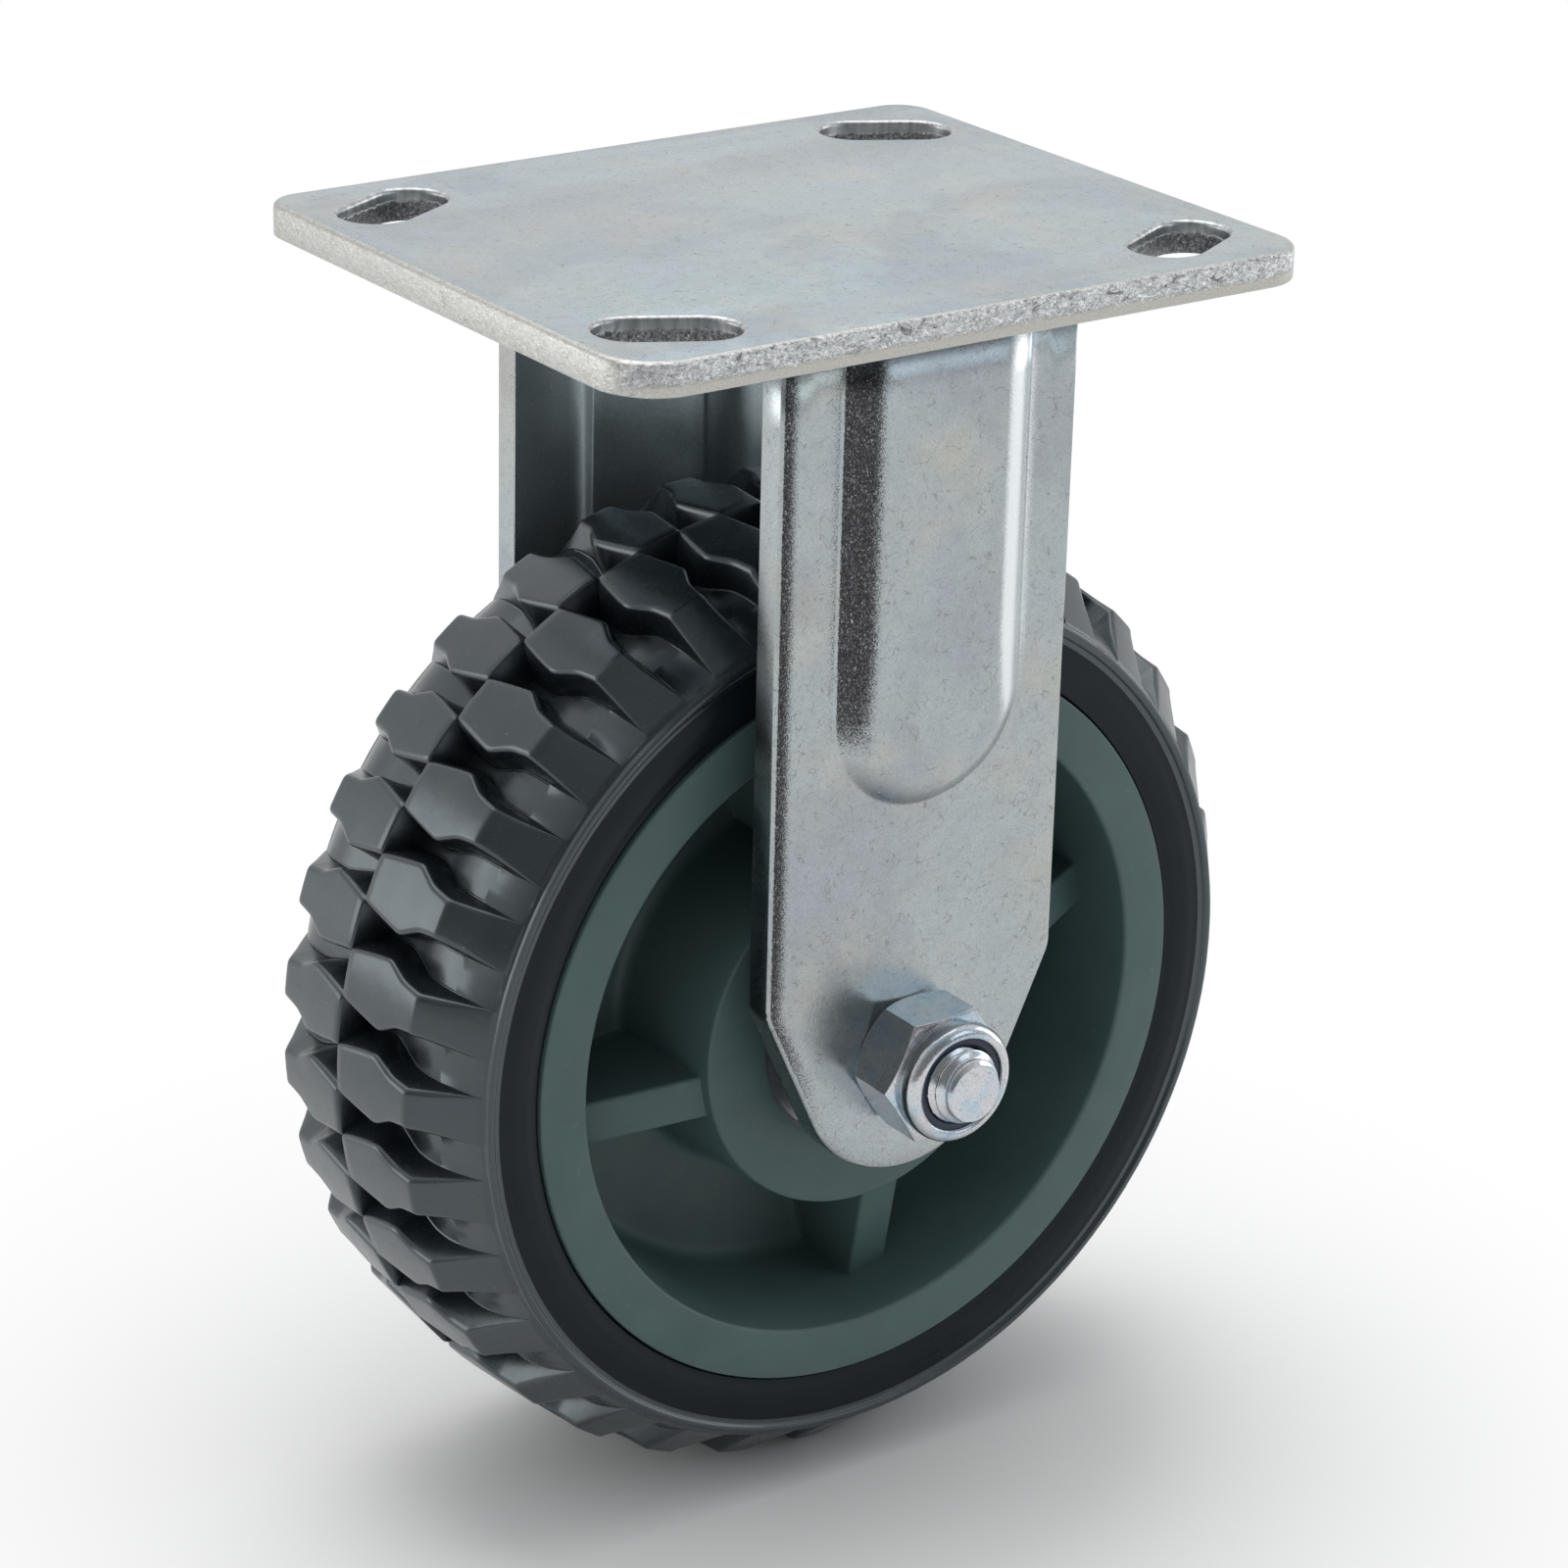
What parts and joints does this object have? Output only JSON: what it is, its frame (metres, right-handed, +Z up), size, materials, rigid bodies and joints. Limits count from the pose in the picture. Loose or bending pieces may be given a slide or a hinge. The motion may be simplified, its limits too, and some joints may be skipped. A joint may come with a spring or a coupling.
{
  "type": "fixed castor",
  "caption": "Fixed castor: a slotted top plate, ribbed legs and a lugged rubber tyre on a spoked core that turns on ball bearings.",
  "frame": {"origin": "centre of the top plate's upper face, where it bolts on", "axes": "+Z up out of the plate, +X the way the wheel rolls, -Y the nut side"},
  "size_m": [0.1524, 0.1038, 0.195],
  "materials": {
    "zinc_plate": "bright zinc plating on pressed sheet steel, faintly scuffed, with torn sheared edges",
    "weld_metal": "zinc plated weld bead",
    "zinc_fastener": "bluish bright zinc plating",
    "nylon": "dark blue nylon",
    "turned_steel": "turned steel",
    "bearing_steel": "ground bearing steel",
    "shield_steel": "pressed steel shield",
    "cage_steel": "pressed steel cage",
    "core_plastic": "matt grey-green moulded plastic, with fine specks",
    "tyre_rubber": "dark grey moulded rubber with a soft sheen"
  },
  "bodies": {
    "frame": {"top_plate": "zinc_plate", "nut_side_leg": "zinc_plate", "head_side_leg": "zinc_plate", "nut_side_weld": "weld_metal", "head_side_weld": "weld_metal", "axle_bolt": "zinc_fastener", "lock_nut": "zinc_fastener", "lock_nut_insert": "nylon", "axle_sleeve": "turned_steel", "nut_side_spacer": "turned_steel", "head_side_spacer": "turned_steel", "centre_spacer": "turned_steel", "nut_side_inner_race": "bearing_steel", "head_side_inner_race": "bearing_steel"},
    "wheel": {"tyre": "tyre_rubber", "wheel_core": "core_plastic", "nut_side_outer_race": "bearing_steel", "head_side_outer_race": "bearing_steel", "nut_side_outer_shield": "shield_steel", "nut_side_inner_shield": "shield_steel", "head_side_outer_shield": "shield_steel", "head_side_inner_shield": "shield_steel"},
    "nut_side_ball_set": {"nut_side_balls": "bearing_steel", "nut_side_ball_cage": "cage_steel"},
    "head_side_ball_set": {"head_side_balls": "bearing_steel", "head_side_ball_cage": "cage_steel"}
  },
  "joints": [
    {"name": "wheel_spin", "type": "hinge", "parent": "frame", "child": "wheel", "pos_m": [0, 0, -0.1188], "axis": [0, 1, 0], "continuous": true},
    {"name": "nut_side_ball_roll", "type": "hinge", "parent": "frame", "child": "nut_side_ball_set", "pos_m": [0, 0, -0.1188], "axis": [0, 1, 0], "continuous": true},
    {"name": "head_side_ball_roll", "type": "hinge", "parent": "frame", "child": "head_side_ball_set", "pos_m": [0, 0, -0.1188], "axis": [0, 1, 0], "continuous": true}
  ],
  "couplings": [
    {"joint": "nut_side_ball_roll", "follows": "wheel_spin", "ratio": 0.61825},
    {"joint": "head_side_ball_roll", "follows": "wheel_spin", "ratio": 0.61825}
  ]
}
